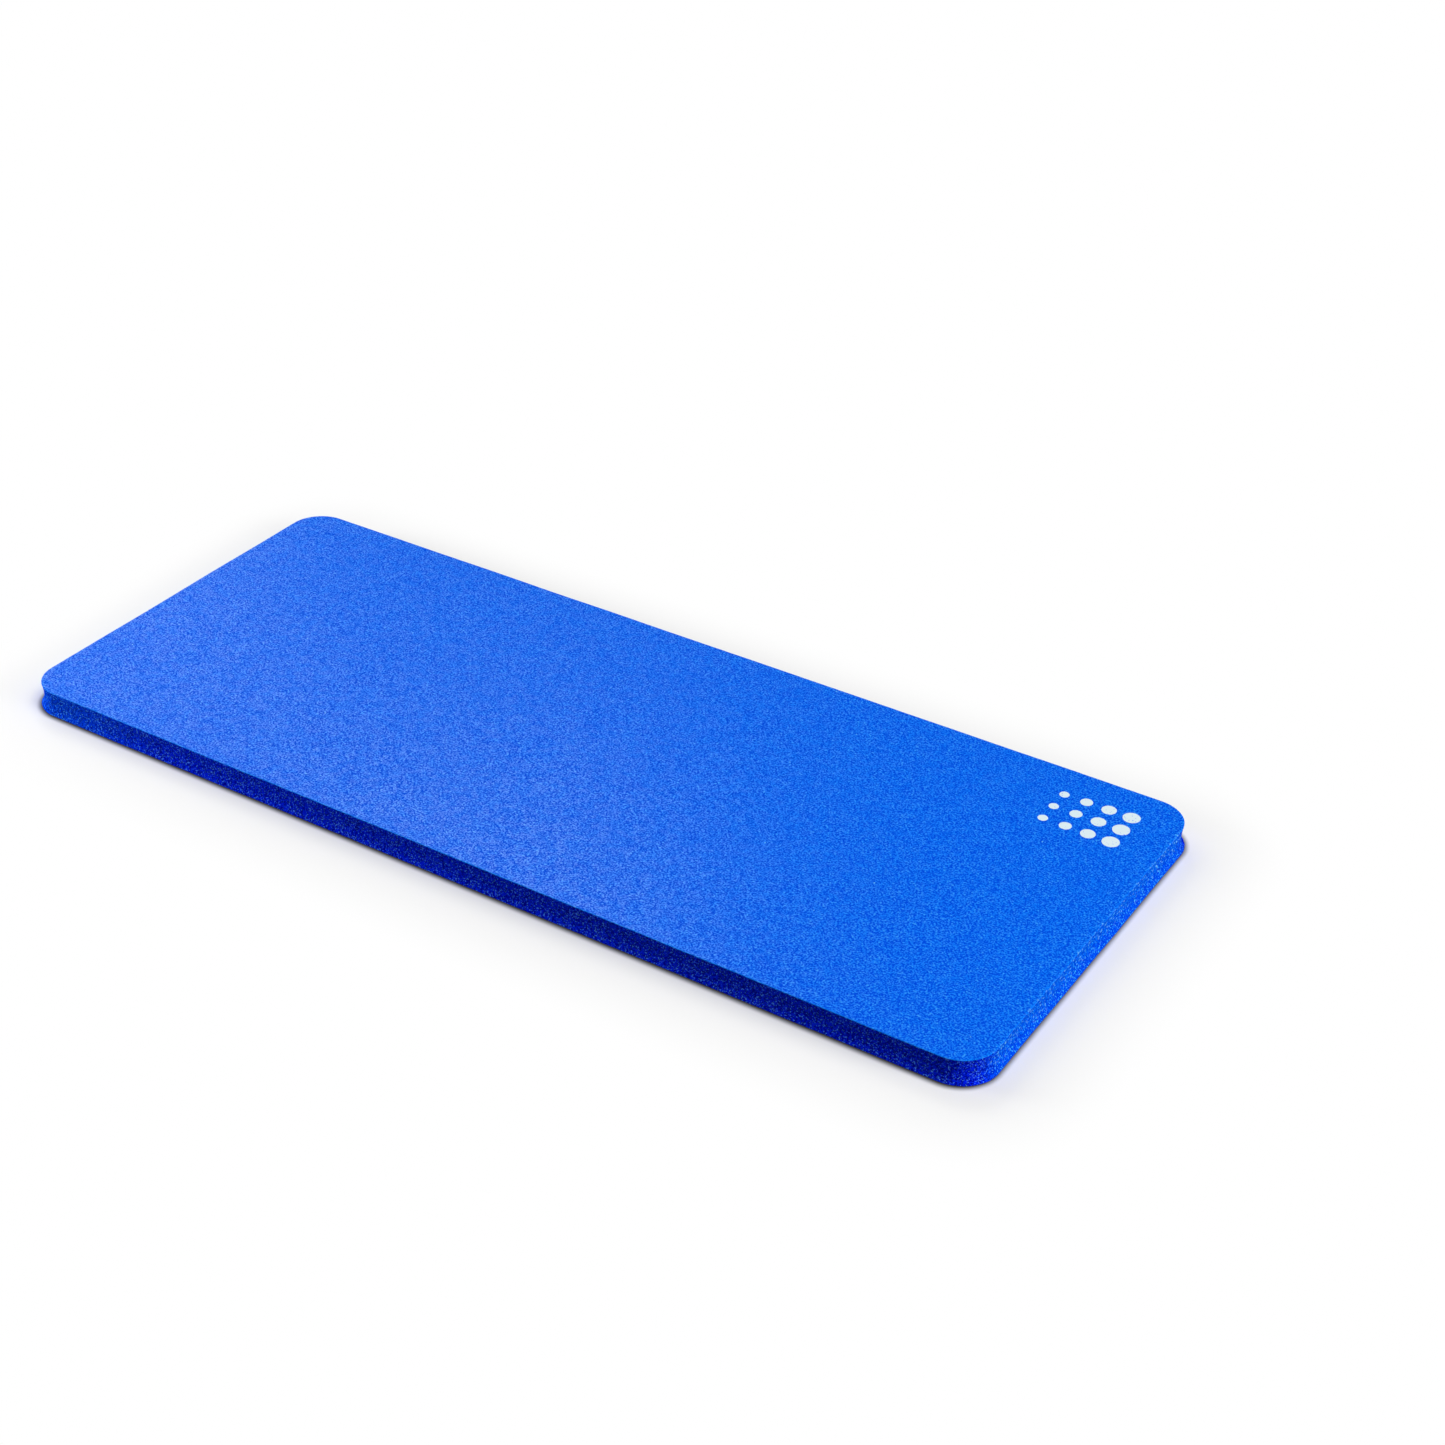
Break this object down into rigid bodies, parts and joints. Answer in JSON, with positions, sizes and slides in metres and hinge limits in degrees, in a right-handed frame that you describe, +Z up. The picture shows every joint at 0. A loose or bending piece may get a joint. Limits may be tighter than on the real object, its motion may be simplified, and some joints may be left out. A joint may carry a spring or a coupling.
{
  "type": "yoga knee pad",
  "caption": "Flat foam pad for knees and elbows: a rounded rectangular slab with hollow die-cut walls, a grained skin on each face and a small dot print near one corner.",
  "frame": {"origin": "middle of the underside, on the surface that the pad lies on", "axes": "+X along the pad's length towards the end with the print, +Y across its width towards the long side with the print, +Z up through its thickness"},
  "size_m": [0.6034, 0.252, 0.015],
  "materials": {
    "cut_foam": "matte",
    "foam_skin": "matte",
    "print_ink": "matte"
  },
  "bodies": {
    "root": {"foam_core": "cut_foam", "top_skin": "foam_skin", "bottom_skin": "foam_skin", "print_dot_1_1": "print_ink", "print_dot_1_2": "print_ink", "print_dot_1_3": "print_ink", "print_dot_2_1": "print_ink", "print_dot_2_2": "print_ink", "print_dot_2_3": "print_ink", "print_dot_3_1": "print_ink", "print_dot_3_2": "print_ink", "print_dot_3_3": "print_ink", "print_dot_4_1": "print_ink", "print_dot_4_2": "print_ink", "print_dot_4_3": "print_ink"}
  },
  "joints": []
}
